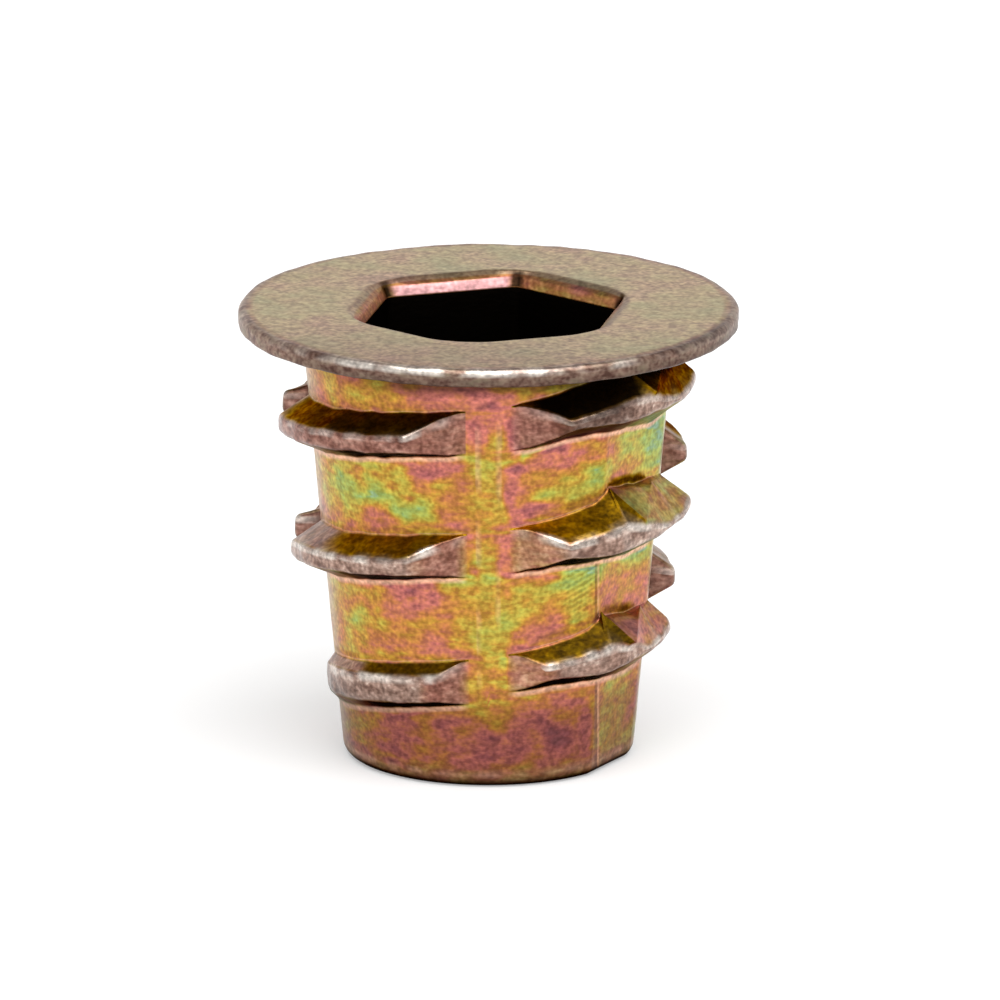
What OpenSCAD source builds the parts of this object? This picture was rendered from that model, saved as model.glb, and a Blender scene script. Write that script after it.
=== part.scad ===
// Flanged hex-drive threaded insert for wood, die-cast in zinc alloy as one piece.
// It stands on its narrow end: the base is at z = 0 and the flange is on top.
// Azimuths run from the front (-Y), positive towards the right (+X).

/* [Body] */
// Height over the flange
body_h = 15.6; // [12.5:0.1:20]
// Barrel diameter where it meets the flange
barrel_top_d = 12.66; // [10.5:0.02:15.2]
// Barrel diameter at the base
barrel_base_d = 9.82; // [8.9:0.02:11.8]
// Radius on the base edge
base_edge_r = 0.45; // [0.2:0.05:0.6]

/* [Flange] */
// Flange diameter
flange_d = 17; // [14:0.1:20.5]
// Flange thickness
flange_t = 0.66; // [0.6:0.02:1.2]
// Radius on the flange's upper edge
flange_top_r = 0.2; // [0.1:0.05:0.25]
// Radius on the flange's lower edge
flange_under_r = 0.15; // [0.1:0.05:0.2]
// Fillet between the flange and the barrel
neck_fillet_r = 0.3; // [0.1:0.05:0.4]

/* [Drive socket] */
// Width across the flats of the socket
hex_af = 8; // [6:0.1:9.6]
// Depth of the socket below the flange's face
hex_depth = 5.5; // [4.5:0.1:7]
// Extra width across the flats at the top of the steep lead-in
lead_in = 0.3; // [0.1:0.05:0.5]
// Depth at which the lead-in ends and the straight flats begin
lead_in_depth = 0.52; // [0.44:0.02:0.8]
// Extra width across the flats at the very mouth, where the edge is broken
mouth_extra = 1.1; // [0.6:0.05:1.4]
// Depth of the broken edge
mouth_depth = 0.28; // [0.1:0.02:0.4]
// Angle of one socket corner from +X
hex_turn = 18; // [0:1:59]

/* [Machine thread] */
// Minor diameter of the tapped M8 bore
bore_d = 6.8; // [5.6:0.01:8.2]
// Width of the countersink around the bore at the base
bore_sink = 0.7; // [0.3:0.05:0.8]

/* [Wood thread] */
// Distance between teeth along the axis
pitch = 4.38; // [3.6:0.02:5.4]
// Depth of the top tooth below the flange's face, at the front
first_tooth = 2.84; // [2.6:0.02:3.2]
// Full height of a tooth above the barrel
tooth_h = 1.14; // [0.8:0.02:1.4]
// Height of the tooth where the thread starts
start_h = 0.3; // [0.2:0.05:0.8]
// Extra thickness below the tooth where the thread starts
start_drop = 0.3; // [0:0.05:0.4]
// Height of the tooth where it runs out below the flange
end_h = 0.88; // [0.5:0.02:1.2]
// Height that the tooth gains in one turn from either end
gain_h = 1.25; // [0.6:0.05:1.5]
// Full height of a tooth on the rear half, which is cast in its own die block
rear_h = 0.92; // [0.7:0.02:1.3]
// Axial rise from a front tooth to the rear tooth half a turn on
rear_rise = 2.86; // [2:0.02:3.4]
// Half angle of the smooth land that interrupts the teeth at the front and rear
land_a = 7; // [5:0.5:10]
// Slope of the run-out facet beside each land
facet_slope = 0.285; // [0.2:0.005:0.4]
// Azimuth where the teeth stop short of the side parting lines
side_end = 83; // [80:1:86]

/* [Side flat] */
// Azimuth of the flat beside the front die block's parting line
side_flat_az = 61; // [50:1:65]
// Depth of that flat at the base
side_flat_cut = 0.19; // [0.05:0.01:0.25]
// How much deeper that flat is under the flange than at the base
side_flat_gain = 0.2; // [0:0.02:0.3]

/* [Hidden] */
$fn = 96;
eps = 0.01;
flange_r = flange_d / 2;
under_z = body_h - flange_t;
base_r = barrel_base_d / 2;
neck_r = barrel_top_d / 2;
taper = (neck_r - base_r) / under_z;
taper_a = atan(taper);
over = 1;          // how far a cutter runs past what it cuts
foot_margin = 0.25; // how far a tooth's foot runs in behind the side flat
bury = side_flat_cut + side_flat_gain + foot_margin;
step_a = 3;        // angle between the stations along a tooth
start_turn = 0.25; // part of a turn over which the start is thickened
facet_end = 45;    // angle past which the run-out facets are clear of the teeth
foot_overlap = 1;  // angle by which a tooth runs under its land's edge
base_land = 0.15;  // least width of the flat ring the part stands on

// Edges of a full tooth along the front half, as depths below its level:
// [azimuth, upper root, upper crest edge, lower crest edge, lower root].
// Past azimuth 38 the die was filled in above the tooth so that it draws.
tooth_form = [
    [-83,  0.00,  0.75,  1.30,  1.85],
    [-60, -0.12,  0.45,  1.05,  1.55],
    [-25, -0.62,  0.00,  0.60,  0.96],
    [  0, -0.88, -0.28,  0.24,  0.70],
    [ 25, -1.29, -0.52, -0.02,  0.50],
    [ 38, -1.60, -0.75,  0.06,  0.50],
    [ 44, -2.08, -0.86,  0.02,  0.52],
    [ 60, -1.82, -0.70, -0.20,  0.50],
    [ 83, -1.62, -0.90, -0.52,  0.52]
];

// Rows of teeth on the front half: as many as fit above the base
turns = 1 + floor((body_h - first_tooth - tooth_form[0][4] - start_drop) / pitch);

// Radius of the bare barrel at a depth below the flange's face
function barrel_r(depth) = base_r + taper * (body_h - depth);

// One column of the tooth form at an azimuth
function form(az, column) = lookup(az, [for (row = tooth_form) [row[0], row[column]]]);

// Height of the tooth after a number of turns from the start of the thread
function height(turn, full_h) =
    min(full_h, start_h + gain_h * turn, end_h + gain_h * (turns - 0.5 - turn));

// Radius at which the run-out facet beside the land cuts the tooth, `a` degrees from its middle
function facet_r(a, root_r) =
    a > facet_end ? 2 * root_r
    : root_r * (cos(land_a) - facet_slope * sin(land_a)) / (cos(a) - facet_slope * sin(a));

function polar(r, az, depth) = [r * sin(az), -r * cos(az), body_h - depth];

// Section of a tooth at one azimuth: foot, two crest edges, foot.
// `lift` is how far the whole tooth is raised, as on the rear half.
function section(az, level, turn, lift) =
    let (
        along = turn + (az + 90) / 360,
        h = height(along, lift > 0 ? rear_h : tooth_h),
        drop = along < start_turn ? start_drop : 0,
        middle = level + (form(az, 2) + form(az, 3)) / 2 - lift,
        root_r = barrel_r(middle),
        full_r = root_r + h,
        crest_r = min(full_r, facet_r(abs(az), root_r)),
        foot_r = root_r - bury,
        spread = (1 + h / tooth_h) / 2,
        up = (form(az, 1) - form(az, 2)) * spread / h,
        down = (form(az, 4) - form(az, 3)) * spread / h,
        top = level + form(az, 2) - lift,
        bottom = level + form(az, 3) + drop - lift
    )
    [
        polar(foot_r, az, bottom + down * (full_r - foot_r)),
        polar(crest_r, az, bottom + down * (full_r - crest_r)),
        polar(crest_r, az, top + up * (full_r - crest_r)),
        polar(foot_r, az, top + up * (full_r - foot_r))
    ];

// A run of teeth sections skinned into one closed solid
module tooth(from_az, to_az, level, turn, lift) {
    steps = ceil((to_az - from_az) / step_a);
    ring = [for (i = [0:steps]) section(from_az + (to_az - from_az) * i / steps, level, turn, lift)];
    sides = [
        for (i = [0:steps - 1], j = [0:3])
            let (a = 4 * i + j, b = 4 * i + (j + 1) % 4)
            each [[a, b, a + 4], [b, b + 4, a + 4]]
    ];
    ends = [[0, 3, 1], [1, 3, 2], [4 * steps, 4 * steps + 1, 4 * steps + 3],
            [4 * steps + 1, 4 * steps + 2, 4 * steps + 3]];
    polyhedron([for (s = ring) each s], concat(sides, ends), convexity = 4);
}

// The two teeth of half a turn, one each side of the land
module half_turn(level, turn, lift) {
    tooth(-side_end, foot_overlap - land_a, level, turn, lift);
    tooth(land_a - foot_overlap, side_end, level, turn, lift);
}

// Interrupted wood thread, low at the start and at full height after a turn
module wood_thread() {
    for (k = [0:turns - 1]) {
        level = first_tooth + k * pitch;
        half_turn(level, turns - 1 - k, 0);
        if (k > 0) rotate(180) half_turn(level, turns - k - 0.5, rear_rise);
    }
}

// Tapered barrel with a rounded base edge and one shallow flat along its side
module barrel() {
    arc_x = base_r + taper * base_edge_r - base_edge_r / cos(taper_a);
    difference() {
        rotate_extrude() {
            translate([arc_x, base_edge_r]) circle(base_edge_r);
            polygon([
                [0, 0],
                [arc_x, 0],
                [arc_x + base_edge_r * cos(taper_a), base_edge_r * (1 - sin(taper_a))],
                [neck_r, under_z],
                [neck_r, under_z + flange_t / 2],
                [0, under_z + flange_t / 2]
            ]);
        }
        rotate(side_flat_az - 90)
            translate([base_r - side_flat_cut, 0, 0])
                rotate([0, atan(taper - side_flat_gain / under_z), 0])
                    translate([0, -base_r, -over])
                        cube([over, 2 * base_r, under_z + 2 * over]);
    }
}

// Flange disc with rounded rim and the fillet that carries it into the barrel
module flange() {
    translate([0, 0, under_z]) rotate_extrude() {
        square([flange_r - flange_top_r, flange_t]);
        square([flange_r - flange_under_r, flange_t / 2]);
        translate([0, flange_under_r])
            square([flange_r, flange_t - flange_under_r - flange_top_r]);
        translate([flange_r - flange_top_r, flange_t - flange_top_r]) circle(flange_top_r);
        translate([flange_r - flange_under_r, flange_under_r]) circle(flange_under_r);
    }
    translate([0, 0, under_z - neck_fillet_r]) rotate_extrude() difference() {
        translate([neck_r - bury, 0]) square([bury + neck_fillet_r, neck_fillet_r + eps]);
        translate([neck_r + neck_fillet_r, 0]) circle(neck_fillet_r);
    }
}

// Hexagon that widens upwards from a depth below the flange's face
module hex_flare(depth, rise, low_af, high_af) {
    translate([0, 0, body_h - depth])
        cylinder(h = rise, d1 = low_af / cos(30), d2 = high_af / cos(30), $fn = 6);
}

// Hexagon socket: straight flats, a steep lead-in and a broken edge at the mouth
module drive_socket() {
    lead_af = hex_af + lead_in;
    rotate(hex_turn) {
        hex_flare(hex_depth, hex_depth + over, hex_af, hex_af);
        hex_flare(lead_in_depth, lead_in_depth - mouth_depth, hex_af, lead_af);
        intersection() {
            hex_flare(mouth_depth, mouth_depth, lead_af, hex_af + mouth_extra);
            cylinder(h = body_h, d = lead_af / cos(30));
        }
    }
}

// Bore at the thread's minor diameter, countersunk at the socket's floor and at the base
module bore() {
    bore_r = bore_d / 2;
    sink = min(bore_sink, base_r - base_edge_r - bore_r - base_land);
    floor_sink = hex_af / 2 - bore_r;
    translate([0, 0, -over]) cylinder(h = body_h, r = bore_r);
    translate([0, 0, -eps]) cylinder(h = sink, r1 = bore_r + sink + eps, r2 = bore_r + eps);
    if (floor_sink > 0)
        translate([0, 0, body_h - hex_depth - floor_sink])
            cylinder(h = floor_sink + eps, r1 = bore_r, r2 = hex_af / 2 + eps);
}

// The whole casting
module insert() {
    color("darkkhaki") difference() {
        union() {
            barrel();
            flange();
            wood_thread();
        }
        drive_socket();
        bore();
    }
}

insert();
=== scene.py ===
# %% [markdown]
# # A flanged, hex-drive threaded insert
# The real thing is one die casting in zinc alloy with a yellow chromate film, 17 mm across its flange. This
# lesson rebuilds its skin as one closed mesh inside the frame that the CAD model gives, and then finishes
# it with a single procedural metal. All design sizes are in millimetres and turn into metres at the very
# end.

# %% Load the frame
import math

import bpy
import numpy as np
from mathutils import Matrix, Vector, noise


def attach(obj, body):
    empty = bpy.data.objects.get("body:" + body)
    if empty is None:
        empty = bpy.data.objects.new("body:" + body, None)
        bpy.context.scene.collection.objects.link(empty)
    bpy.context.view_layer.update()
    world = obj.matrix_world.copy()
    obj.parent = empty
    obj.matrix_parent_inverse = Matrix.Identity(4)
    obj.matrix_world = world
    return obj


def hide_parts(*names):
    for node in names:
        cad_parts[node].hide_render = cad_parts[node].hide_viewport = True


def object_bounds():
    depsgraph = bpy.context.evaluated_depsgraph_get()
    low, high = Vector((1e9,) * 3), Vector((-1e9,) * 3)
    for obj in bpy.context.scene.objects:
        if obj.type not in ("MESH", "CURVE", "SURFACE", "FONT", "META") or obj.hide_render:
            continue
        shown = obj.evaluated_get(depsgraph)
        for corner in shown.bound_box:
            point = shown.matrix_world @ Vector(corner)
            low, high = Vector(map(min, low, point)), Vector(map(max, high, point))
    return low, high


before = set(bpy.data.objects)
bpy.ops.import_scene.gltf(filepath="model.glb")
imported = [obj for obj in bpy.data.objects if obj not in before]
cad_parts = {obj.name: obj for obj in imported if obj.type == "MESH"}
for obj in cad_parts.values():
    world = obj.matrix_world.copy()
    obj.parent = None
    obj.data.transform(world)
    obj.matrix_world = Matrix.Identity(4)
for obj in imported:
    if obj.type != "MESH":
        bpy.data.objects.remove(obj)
cad_lo, cad_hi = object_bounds()
MM = 0.001
body_h = (cad_hi.z - cad_lo.z) / MM
flange_r = (cad_hi.x - cad_lo.x) / MM / 2
print(f"CAD box: {2 * flange_r:.2f} mm across, {body_h:.2f} mm high")

# %% [markdown]
# ## Camera
# The insert stands on its narrow end and is seen from the front, 15 degrees above level. The lens is very
# long, as for a product shot of small hardware, so the flange looks almost the same size near and far.

# %% Camera
VIEW_ELEVATION = 15.24      # degrees above level
VIEW_DISTANCE = 900 * MM
VIEW_WIDTH = 33.95 * MM     # what the frame covers at the insert
VIEW_AIM = Vector((0.39 * MM, 0, 8.77 * MM))
SENSOR_MM = 36.0


def add_camera():
    data = bpy.data.cameras.new("camera")
    data.sensor_width = SENSOR_MM
    data.lens = SENSOR_MM * VIEW_DISTANCE / VIEW_WIDTH
    data.clip_start = VIEW_DISTANCE * 0.1
    data.clip_end = VIEW_DISTANCE * 10
    cam = bpy.data.objects.new("camera", data)
    elevation = math.radians(VIEW_ELEVATION)
    back = Vector((0, -math.cos(elevation), math.sin(elevation)))
    cam.location = VIEW_AIM + back * VIEW_DISTANCE
    cam.rotation_euler = (-back).to_track_quat("-Z", "Y").to_euler()
    bpy.context.collection.objects.link(cam)
    bpy.context.scene.camera = cam
    return cam


print("lens", round(add_camera().data.lens), "mm")

# %% [markdown]
# ## The barrel
# The body is a cone, narrow at the foot, so that it starts easily in a drilled hole. Azimuth 0 is the front
# and 90 the right side, and a depth is measured down from the flange's face. A cone primitive would do for
# the plain body, but a radius for every direction and depth takes in the flat and can carry the teeth.

# %% Barrel
FLANGE_T = 0.66
NECK_R, BASE_R = 6.33, 4.91     # under the flange and at the foot
NECK_FILLET = 0.3
BASE_EDGE = 0.45
TAPER = (NECK_R - BASE_R) / (body_h - FLANGE_T)
FLAT_AZ = 61.0                  # a shallow flat runs down the right side
FLAT_CUT, FLAT_GAIN = 0.19, 0.2  # its cut at the foot, and what that gains up to the flange


def cone_r(depth):
    return BASE_R + TAPER * (body_h - depth)


def barrel_r(az, depth):
    """Radius of the bare barrel, with its flat."""
    turn = math.radians(az - FLAT_AZ)
    if math.cos(turn) < 0.5:
        return cone_r(depth)
    cut = FLAT_CUT + FLAT_GAIN * (body_h - depth) / (body_h - FLANGE_T)
    return min(cone_r(depth), (cone_r(depth) - cut) / math.cos(turn))


print(f"the cone leans {math.degrees(math.atan(TAPER)):.2f} degrees")

# %% [markdown]
# ## The teeth
# The wood thread is cast in a die of two halves, so it isn't one helix. Each tooth goes half way round, in
# front or behind, and stops in a plane facet beside a smooth land. The thread starts low at the foot and
# ends low under the flange. A table says how one tooth runs, which is easier to correct than edges pushed
# about by hand.

# %% Teeth
PITCH = 4.38
ROWS_OF_TEETH = 3
FIRST_TOOTH = 2.84          # depth of the topmost tooth in front
TOOTH_H, REAR_H = 1.14, 0.92
REAR_RISE = 2.86            # how much higher the rear teeth stand
SIDE_END = 83.0             # azimuth of a tooth's end, from the middle of its half
START_H, END_H = 0.3, 0.88  # height at the foot and at the top end
GAIN_H = 1.25               # what a tooth gains in one turn
START_TURN, START_DROP = 0.25, 0.3  # over the first quarter turn its lower edge is lower

# One tooth along the front half, as depths below its own level:
# azimuth, upper root, upper crest edge, lower crest edge, lower root.
TOOTH_FORM = np.array([
    (-83, 0.00, 0.75, 1.30, 1.85),
    (-60, -0.12, 0.45, 1.05, 1.55),
    (-25, -0.62, 0.00, 0.60, 0.96),
    (0, -0.88, -0.28, 0.24, 0.70),
    (25, -1.29, -0.52, -0.02, 0.50),
    (38, -1.60, -0.75, 0.06, 0.50),
    (44, -2.08, -0.86, 0.02, 0.52),
    (52, -1.95, -0.68, -0.10, 0.50),
    (62, -1.79, -0.38, -0.22, 0.50),
    (74, -1.70, -0.50, -0.30, 0.52),
    (83, -1.62, -0.80, -0.42, 0.54),
])


def form(az):
    """The four depths at an azimuth."""
    return [float(np.interp(az, TOOTH_FORM[:, 0], depths)) for depths in TOOTH_FORM.T[1:]]


def tooth_height(turn, full_h):
    return min(full_h, START_H + GAIN_H * turn, END_H + GAIN_H * (ROWS_OF_TEETH - 0.5 - turn))


print("depths of a tooth in front:", form(0))

# %% Facets beside the lands
LAND_A = 7.0                # half angle of a land
FACET_SLOPE = 0.285
MEAN_ROOT_R = 5.8


def facet_r(a, root_r):
    """Radius of the plane facet that ends a tooth beside its land."""
    land = math.radians(LAND_A)
    a = math.radians(a)
    reach = math.cos(a) - FACET_SLOPE * math.sin(a)
    return root_r * (math.cos(land) - FACET_SLOPE * math.sin(land)) / max(reach, 0.3)


def facet_end(height, root_r):
    """Azimuth where that facet meets the crest."""
    return next(a for a in np.arange(LAND_A, 60, 0.1) if facet_r(a, root_r) >= root_r + height)


print(f"the facet of a full tooth ends at {facet_end(TOOTH_H, MEAN_ROOT_R):.1f} degrees")

# %% [markdown]
# ## Columns
# Every ring of the mesh has the same columns, one for each azimuth. They crowd together where the casting
# has an upright edge: at the lands, where the facets meet the crests, at the ends of the teeth, at the
# filled corners, and at the corners of the hexagon.

# %% Columns
HEX_CORNER = 48.0           # azimuth of one corner of the socket
COLUMN_STEP = 1.3
CLEARANCE = 0.45            # an even column closer than this to a crowded one is left out
LAND_STRIP = 3.6            # half angle of the raised strip on the front land


def around(centre, offsets):
    return [centre + side * off for off in offsets for side in (-1, 1)]


def all_columns():
    close = []
    for corner in range(6):
        close += around(HEX_CORNER + 60 * corner, (0.0, 0.5, 1.0))
    for middle in (0, 180):
        close += around(middle, (LAND_A - 0.4, LAND_A, LAND_A + 0.4))
        for height in (0.55, REAR_H, TOOTH_H):
            end = facet_end(height, MEAN_ROOT_R)
            close += around(middle, (end, end + 0.5))
        for end in around(middle, (SIDE_END,)):
            inward = math.copysign(1, middle - end)
            close += [end + inward * a for a in (-0.35, 0.0, 0.02, 0.2, 0.5, 1.1)]
    close += around(0, (LAND_STRIP - 0.4, LAND_STRIP, LAND_STRIP + 0.4))
    close += list(np.arange(40, 51, 0.6)) + list(np.arange(70, 78, 0.8))
    even = np.arange(-180, 180, COLUMN_STEP)
    close = np.unique(np.round((np.array(close) + 180) % 360 - 180, 3))
    gap = np.abs((even[:, None] - close[None, :] + 180) % 360 - 180).min(axis=1)
    return np.sort(np.concatenate([close, even[gap > CLEARANCE]]))


columns = all_columns()
print(len(columns), "columns, closest", round(float(np.diff(columns).min()), 3), "degrees")

# %% [markdown]
# ## The section of a tooth
# A tooth is a trapezium: root, crest edge, crest edge, root. Past 44 degrees the die is filled in above it
# with two plane facets, so its upper side has a knee there, and where the barrel has its flat the fill
# stands on a small riser. Only the corners are laid out here, since all outlines are rounded the same way.

# %% The filled corner
FILL_A = (43.4, 0.0, -2.01)   # azimuth, height above the barrel, depth: where the fill begins at the root
FILL_B = (70.0, 0.02, -1.72)  # where its two facets meet at the root
FILL_C = (50.6, 1.14, -0.87)  # where they meet at the crest


def cylinder_point(az, r, depth):
    a = math.radians(az)
    return np.array((r * math.sin(a), -r * math.cos(a), depth))


def on_line(start, end, az):
    """Radius and depth where the line between two points crosses the upright plane at an azimuth."""
    a = math.radians(az)
    side = np.array((math.cos(a), math.sin(a), 0))
    t = -start.dot(side) / (end - start).dot(side)
    p = start + (end - start) * t
    return math.hypot(p[0], p[1]), p[2]


def knee(az, level):
    """The crease of the fill on this column, or None where there is no fill."""
    a, b, c = [
        cylinder_point(at, cone_r(level + depth) + rise, level + depth)
        for at, rise, depth in (FILL_A, FILL_B, FILL_C)
    ]
    if FILL_A[0] < az <= FILL_C[0]:
        return on_line(a, c, az)
    if FILL_C[0] < az < FILL_B[0]:
        return on_line(c, b, az)
    return None


print("knee at 60 degrees, radius and depth:", np.round(knee(60.0, FIRST_TOOTH), 2))

# %% Soft limits and uneven edges
EDGE_WOBBLE, CREST_WOBBLE = 0.045, 0.03


def smooth_min(a, b, blend):
    mix = min(max(0.5 + 0.5 * (b - a) / blend, 0), 1)
    return b + (a - b) * mix - blend * mix * (1 - mix)


def wobble(az, level, seed):
    """Unevenness of a cast edge along the thread, between -1 and 1."""
    a = math.radians(az)
    return noise.noise(Vector((7 * math.sin(a), -7 * math.cos(a), level * 3 + seed)) * 1.6)


print("wobble at the front:", round(wobble(0.0, FIRST_TOOTH, 0), 2))

# %% Corners of the section
def tooth_keys(az, level, along, full_h, inset, top_limit, rear):
    """Corners of the section: foot of the riser, upper root, knee, two crest edges, lower root."""
    seed = 40 if rear else 0
    upper_root, upper_crest, lower_crest, lower_root = form(az)
    middle = level + (upper_crest + lower_crest) / 2
    if rear:    # blunter towards the end that shows on the left
        blunt = min(max((az - 60) / 23, 0), 1)
        upper_root, upper_crest = upper_root + 0.2 * blunt, upper_crest - 0.36 * blunt
    h = tooth_height(along, full_h)
    drop = START_DROP if along < START_TURN else 0.0
    root_r = cone_r(middle)
    full_r = root_r + h
    spread = (1 + h / TOOTH_H) / 2
    up = (upper_root - upper_crest) * spread / h
    down = (lower_root - lower_crest) * spread / h
    ragged = EDGE_WOBBLE * min(1.0, h / TOOTH_H)
    top = level + upper_crest + inset + ragged * wobble(az, level, seed)
    bottom = level + lower_crest + drop - inset + ragged * wobble(az, level, seed + 9)
    crest_r = smooth_min(full_r - inset, facet_r(abs(az), root_r), 0.06)
    crest_r += CREST_WOBBLE * wobble(az, level, seed + 21) * min(1.0, h / TOOTH_H)
    crest_r = max(crest_r, root_r)
    lean = TAPER * (1 - (crest_r - root_r) / h)

    def flank(start, slope, surface):
        depth = start + slope * (full_r - crest_r)
        for _ in range(4):
            r = surface(depth)
            depth = start + slope * (full_r - r)
        return r, depth

    r0, d0 = flank(top, up, cone_r)
    r3, d3 = flank(bottom, down, lambda depth: barrel_r(az, depth))
    if d0 < top_limit:
        d0 = top_limit
        r0 = full_r - (d0 - top) / up
    upper_d = max(top + up * (full_r - crest_r), d0 + 0.05)
    lower_d = min(max(bottom + down * (full_r - crest_r), upper_d + 0.1), d3 - 0.05)
    upper = (max(crest_r + lean * (middle - upper_d), cone_r(upper_d)), upper_d)
    lower = (max(crest_r + lean * (middle - lower_d), barrel_r(az, lower_d)), lower_d)
    crease = knee(az, level) if inset == 0 else None
    share = 0.5 if az < FILL_B[0] else float(np.interp(az, (FILL_B[0], FILL_B[0] + 9), (0.05, 0.5)))
    middle_key = crease or (r0 + (upper[0] - r0) * share, d0 + (upper[1] - d0) * share)
    riser = d0 - 0.05
    return [(barrel_r(az, riser), riser), (r0, d0), middle_key, upper, lower, (r3, d3)]


section = tooth_keys(30.0, FIRST_TOOTH, 1.0, TOOTH_H, 0.0, 0.0, False)
print(len(section), "corners, radius and depth of the crest's upper edge:", np.round(section[3], 2))

# %% The same corners on the bare barrel
def flat_keys(az, keys):
    """The same corners laid in order on the bare barrel, where there is no tooth."""
    depths = [depth for _, depth in keys]
    for i in range(1, len(depths)):
        depths[i] = max(depths[i], depths[i - 1] + 0.03)
    return [(barrel_r(az, depth), depth) for depth in depths]


print("that edge laid on the barrel:", np.round(flat_keys(30.0, section)[3], 2))

# %% [markdown]
# ## Rounding an outline
# Cast edges are never sharp. A corner is replaced by a short curve between a point just before it and a
# point just after it, with the corner itself as the curve's control point. The curve never takes more than
# 45 percent of a side, so tight outlines stay in order. Every column gives the same number of points, which
# is what lets columns join into quads.

# %% Rounded outlines
def rounded(keys, radii, corner_steps, side_steps):
    """Outline through the keys: a curve at each inner key and evenly spaced points along each side."""
    pts = [np.array(key, float) for key in keys]
    arcs = [(pts[0], pts[0], pts[0])]
    for before, corner, after, radius in zip(pts, pts[1:], pts[2:], radii):
        ends = []
        for other in (before, after):
            length = float(np.linalg.norm(other - corner))
            reach = min(radius, 0.45 * length)
            ends.append(corner + (other - corner) * (reach / max(length, 1e-6)))
        arcs.append((ends[0], corner, ends[1]))
    arcs.append((pts[-1], pts[-1], pts[-1]))
    outline = []
    for index, (first, corner, last) in enumerate(arcs):
        if 0 < index < len(arcs) - 1:
            steps = corner_steps[index - 1]
            for i in range(steps + 1):
                t = i / steps
                outline.append(first * (1 - t) ** 2 + corner * 2 * t * (1 - t) + last * t ** 2)
        else:
            outline.append(corner)
        if index < len(arcs) - 1:
            begin, end = last, arcs[index + 1][0]
            steps = side_steps[index]
            crowd = 0.115 if steps > 6 else 0.0
            for i in range(1, steps):
                t = i / steps - crowd * math.sin(2 * math.pi * i / steps)
                outline.append(begin + (end - begin) * t)
    return outline


print(len(rounded([(0, 0), (1, 0), (1, 1)], [0.2], [4], [2, 2])), "points round a single corner")

# %% Places along an outline
def places_along(corner_steps, side_steps):
    """For each point of a rounded outline, the key it lies at: 2.5 is half way from key 2 to key 3."""
    places = [0.0]
    for index, side in enumerate(side_steps):
        corner = (*corner_steps, 0)[index]
        places += [index + 0.1 + 0.8 * i / side for i in range(1, side)]
        places += [index + 1 + 0.2 * (i / max(corner, 1) - 0.5) for i in range(corner + 1)]
    return places


print("places round a single corner:", [round(p, 2) for p in places_along([4], [2, 2])])

# %% [markdown]
# ## The outside, from the flange down to the base
# The front and the rear half of the thread are the same form. The rear one is turned half way round, lifted
# towards the flange and a little lower in height. Between them, at both sides, the barrel is bare.

# %% One half of the thread
TEETH_START = FLANGE_T + NECK_FILLET
TEETH_END = body_h - BASE_EDGE
END_ROUND = 0.12            # radius on the edges of a tooth's end


def end_inset(az):
    """How far a tooth's outline draws in near its end, and whether there is a tooth at all."""
    left = (SIDE_END - abs(az)) * math.radians(1) * 6.5
    if left < -0.001:
        return 0.0, False
    left = min(max(left, 0.0), END_ROUND)
    return END_ROUND - math.sqrt(END_ROUND ** 2 - (END_ROUND - left) ** 2), True


def half_keys(az, rear):
    """Keys of the three teeth that a column at a local azimuth crosses, on the front or the rear half."""
    clamped = max(-SIDE_END, min(SIDE_END, az))
    inset, present = end_inset(az)
    keys = []
    for row in range(ROWS_OF_TEETH):
        k = row + 1 if rear else row
        level = FIRST_TOOTH + k * PITCH - (REAR_RISE if rear else 0)
        along = ROWS_OF_TEETH - (0.5 if rear else 1) - k + (clamped + 90) / 360
        exists = present and k < ROWS_OF_TEETH and abs(az) > LAND_A
        limit = TEETH_START + 0.06
        if k == 0 and not rear:
            level -= 0.18 * float(np.interp(az, (8, 26, 55, 72), (0, 1, 1, 0)))
        full_h = REAR_H + 0.1 * float(np.interp(az, (50, 80), (0, 1))) if rear else TOOTH_H
        section = tooth_keys(clamped, level, max(along, 0.0), full_h, inset, limit, rear)
        if k == 0 and not rear:     # a narrower crest, where the die filled badly
            less = float(np.interp(az, (16, 24, 44, 56), (0, 1, 1, 0)))
            for index, narrowing in ((3, 0.08), (4, -0.10)):
                r, depth = section[index]
                section[index] = (r, depth + narrowing * less)
        keys.append(section if exists else flat_keys(az if not rear else az + 180, section))
    return keys


print(len(half_keys(30.0, False)), "rows of teeth on a column in front")

# %% Down the whole outside
def outside_keys(az):
    """Keys down one column at a true azimuth."""
    gap = 90 - SIDE_END
    if abs(az) <= 90 - gap:
        teeth = half_keys(az, False)
    elif abs(az) >= 90 + gap:
        teeth = half_keys(az - math.copysign(180, az), True)
    else:
        front = half_keys(math.copysign(SIDE_END + 0.5, az), False)
        rear = half_keys(math.copysign(SIDE_END + 0.5, -az), True)
        mix = (abs(az) - (90 - gap)) / (2 * gap)
        teeth = [
            [(0, f[1] * (1 - mix) + r[1] * mix) for f, r in zip(front_keys, rear_keys)]
            for front_keys, rear_keys in zip(front, rear)
        ]
        teeth = [flat_keys(az, keys) for keys in teeth]
    start = (barrel_r(az, TEETH_START), TEETH_START)
    end = (barrel_r(az, TEETH_END), TEETH_END)
    return [start] + [key for keys in teeth for key in keys] + [end]


TOOTH_ROUND = (0.03, 0.14, 0.04, 0.16, 0.16, 0.14)  # riser, upper root, knee, crest edges, lower root
TOOTH_CORNERS = (2, 4, 2, 4, 4, 4)
TOOTH_SIDES = (1, 2, 2, 4, 2)     # riser, both halves of the upper flank, crest, lower flank
GAP_SIDES = (3, 10, 10, 10)       # the bare barrel above, between and below the teeth
SIDES = [GAP_SIDES[0]]
for gap in GAP_SIDES[1:]:
    SIDES += [*TOOTH_SIDES, gap]


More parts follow.
